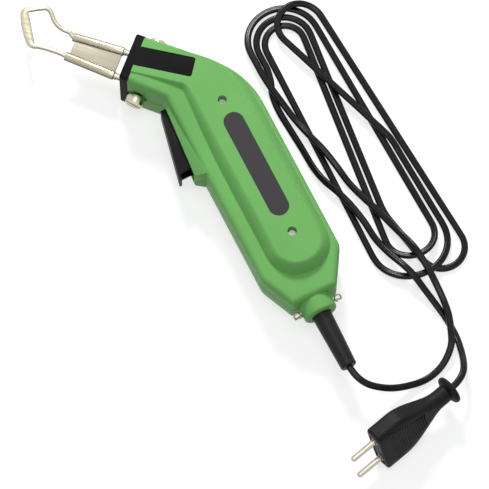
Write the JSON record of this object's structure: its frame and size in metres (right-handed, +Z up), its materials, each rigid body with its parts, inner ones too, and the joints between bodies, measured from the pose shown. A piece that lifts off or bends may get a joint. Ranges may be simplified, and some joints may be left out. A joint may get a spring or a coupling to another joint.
{
  "type": "electric hot knife",
  "caption": "Pistol-shaped electric hot knife: a two-part casing with a trigger switch, a heated bent-wire blade in clamped contact tubes, and a looped mains cord with a flat plug",
  "frame": {"origin": "on the table under the label's place, on the lower panel that the tool lies on, on the middle of the grip's width", "axes": "X runs along the grip from the cord to the nose, Y across the grip to the trigger side, Z up through the casing's thickness"},
  "size_m": [0.3839, 0.1999, 0.043],
  "materials": {
    "green_plastic": "satin moulded",
    "black_plastic": "fine grain",
    "label_grey": "matt foil",
    "steel": "turned and plated",
    "tube_metal": "bright plated",
    "web_metal": "brushed, heat tinted",
    "blade_steel": "drawn wire",
    "copper": "bare",
    "laminations": "varnished",
    "bobbin_plastic": "moulded",
    "switch_plastic": "moulded",
    "brown_wire": "insulated",
    "blue_wire": "insulated",
    "cord_black": "smooth"
  },
  "bodies": {
    "housing": {"upper_casing": "green_plastic", "lower_casing": "green_plastic", "nose_insert": "black_plastic", "label_plate": "label_grey", "casing_screws": "steel", "rear_clip": "steel", "trigger_pin": "steel", "switch_body": "switch_plastic", "core_e_stack": "laminations", "core_i_stack": "laminations", "coil_bobbin": "bobbin_plastic", "primary_coil": "copper", "upper_bus_bar": "copper", "lower_bus_bar": "copper", "upper_terminal": "copper", "lower_terminal": "copper", "strain_relief": "black_plastic", "cord_stub": "cord_black", "cord_clamp_bar": "bobbin_plastic", "cord_clamp_screws": "steel", "live_lead": "brown_wire", "neutral_lead": "blue_wire", "switched_lead": "brown_wire", "cord_lead": "cord_black", "cord_hank": "cord_black", "cord_tail": "cord_black", "plug_body": "black_plastic", "plug_pins": "steel"},
    "trigger": {"trigger": "black_plastic"},
    "plunger": {"switch_plunger": "switch_plastic"},
    "upper_clamp": {"upper_clamp_screw": "steel"},
    "lower_clamp": {"lower_clamp_screw": "steel"},
    "blade_cartridge": {"upper_contact_tube": "tube_metal", "lower_contact_tube": "tube_metal", "spacer_plate": "web_metal", "blade_wire": "blade_steel"}
  },
  "joints": [
    {"name": "trigger_hinge", "type": "hinge", "parent": "housing", "child": "trigger", "pos_m": [0.062, 0.0288, 0.0215], "axis": [0, 0, 1], "range_deg": [0, 5.5], "stiffness_Nm_per_rad": 1},
    {"name": "plunger_slide", "type": "slide", "parent": "housing", "child": "plunger", "axis": [0, -1, 0], "range_m": [0, 0.0024]},
    {"name": "upper_clamp_turn", "type": "hinge", "parent": "housing", "child": "upper_clamp", "pos_m": [0.10813, 0.01631, 0.0215], "axis": [0.682, -0.7314, 0], "continuous": true},
    {"name": "lower_clamp_turn", "type": "hinge", "parent": "housing", "child": "lower_clamp", "pos_m": [0.08358, 0.04264, 0.0215], "axis": [-0.682, 0.7314, 0], "continuous": true},
    {"name": "blade_pull", "type": "slide", "parent": "housing", "child": "blade_cartridge", "axis": [0.7314, 0.682, 0], "range_m": [0, 0.033]}
  ],
  "couplings": [
    {"joint": "plunger_slide", "follows": "trigger_hinge", "m_per_rad": 0.024}
  ]
}
